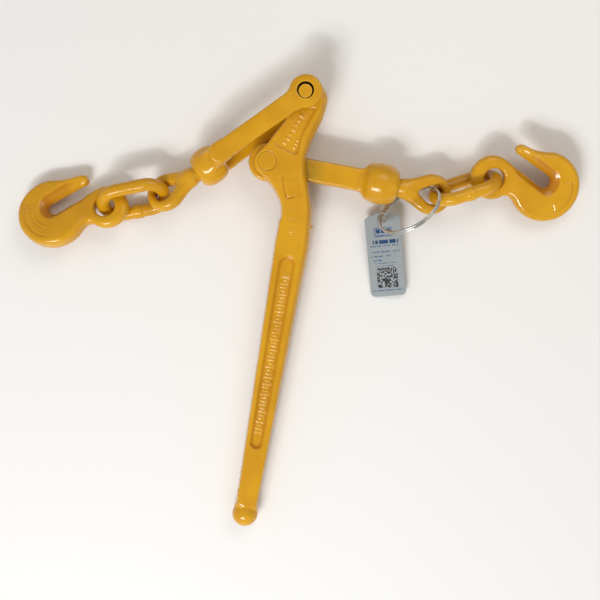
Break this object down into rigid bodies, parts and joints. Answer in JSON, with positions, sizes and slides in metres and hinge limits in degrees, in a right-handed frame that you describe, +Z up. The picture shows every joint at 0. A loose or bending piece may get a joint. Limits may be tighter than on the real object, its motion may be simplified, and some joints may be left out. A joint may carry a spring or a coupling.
{
  "type": "lever load binder",
  "caption": "Lever load binder: handle with a take-up yoke and tension arm, each ending in a swivel eye, a link and a grab hook; one side also carries a split ring with a tag.",
  "frame": {"origin": "under the middle of the whole binder's footprint, on the floor it lies on", "axes": "+Z up, +X towards the hook on the tension arm's side, +Y from the handle towards the lever head"},
  "size_m": [0.5024, 0.3978, 0.0539],
  "materials": {
    "yellow_paint": "glossy golden-yellow enamel over forged steel, slight orange peel, chipped at the edges",
    "zinc_steel": "bright zinc-plated spring wire",
    "tag_plate": "satin light-grey metal plate"
  },
  "bodies": {
    "lever": {"lever": "yellow_paint", "main_rivet": "yellow_paint"},
    "yoke": {"take_up_yoke": "yellow_paint"},
    "arm": {"tension_arm": "yellow_paint"},
    "left_eye": {"left_swivel_eye": "yellow_paint"},
    "right_eye": {"right_swivel_eye": "yellow_paint"},
    "left_link": {"left_link": "yellow_paint"},
    "right_link": {"right_link": "yellow_paint"},
    "left_hook": {"left_hook": "yellow_paint"},
    "right_hook": {"right_hook": "yellow_paint"},
    "ring": {"split_ring": "zinc_steel"},
    "tag": {"tag": "tag_plate"}
  },
  "joints": [
    {"name": "yoke_pivot", "type": "hinge", "parent": "lever", "child": "yoke", "pos_m": [0.00475, 0.18492, 0.02602], "axis": [0.0209, -0.041, 0.9989], "range_deg": [-60, 30]},
    {"name": "arm_pivot", "type": "hinge", "parent": "lever", "child": "arm", "pos_m": [-0.02824, 0.12514, 0.02426], "axis": [0.0209, -0.041, 0.9989], "range_deg": [-20, 78]},
    {"name": "left_swivel", "type": "hinge", "parent": "yoke", "child": "left_eye", "pos_m": [-0.08047, 0.12183, 0.02522], "axis": [-0.8512, -0.5175, -0.0872], "continuous": true},
    {"name": "right_swivel", "type": "hinge", "parent": "arm", "child": "right_eye", "pos_m": [0.07399, 0.10629, 0.02135], "axis": [0.9799, -0.1923, -0.0523], "continuous": true},
    {"name": "left_link_swing", "type": "hinge", "parent": "left_eye", "child": "left_link", "pos_m": [-0.12898, 0.09233, 0.02025], "axis": [0.4093, -0.7585, 0.5071], "range_deg": [-4, 60]},
    {"name": "right_link_swing", "type": "hinge", "parent": "right_eye", "child": "right_link", "pos_m": [0.13568, 0.09476, 0.01808], "axis": [-0.2253, 0.8705, 0.4376], "range_deg": [-4, 20]},
    {"name": "left_hook_swing", "type": "hinge", "parent": "left_link", "child": "left_hook", "pos_m": [-0.17367, 0.08719, 0.01847], "axis": [-0.084, 0.2903, 0.9533], "range_deg": [-60, 60]},
    {"name": "right_hook_swing", "type": "hinge", "parent": "right_link", "child": "right_hook", "pos_m": [0.17406, 0.11275, 0.02007], "axis": [-0.0589, 0.2457, -0.9676], "range_deg": [-60, 60]},
    {"name": "ring_swing", "type": "hinge", "parent": "right_eye", "child": "ring", "pos_m": [0.1201, 0.09547, 0.01584], "axis": [0.5369, -0.8326, 0.136], "range_deg": [-1, 20]},
    {"name": "tag_swing", "type": "hinge", "parent": "ring", "child": "tag", "pos_m": [0.07262, 0.07634, 0.01311], "axis": [-0.2073, -0.6917, 0.6918], "range_deg": [-30, 10]}
  ]
}
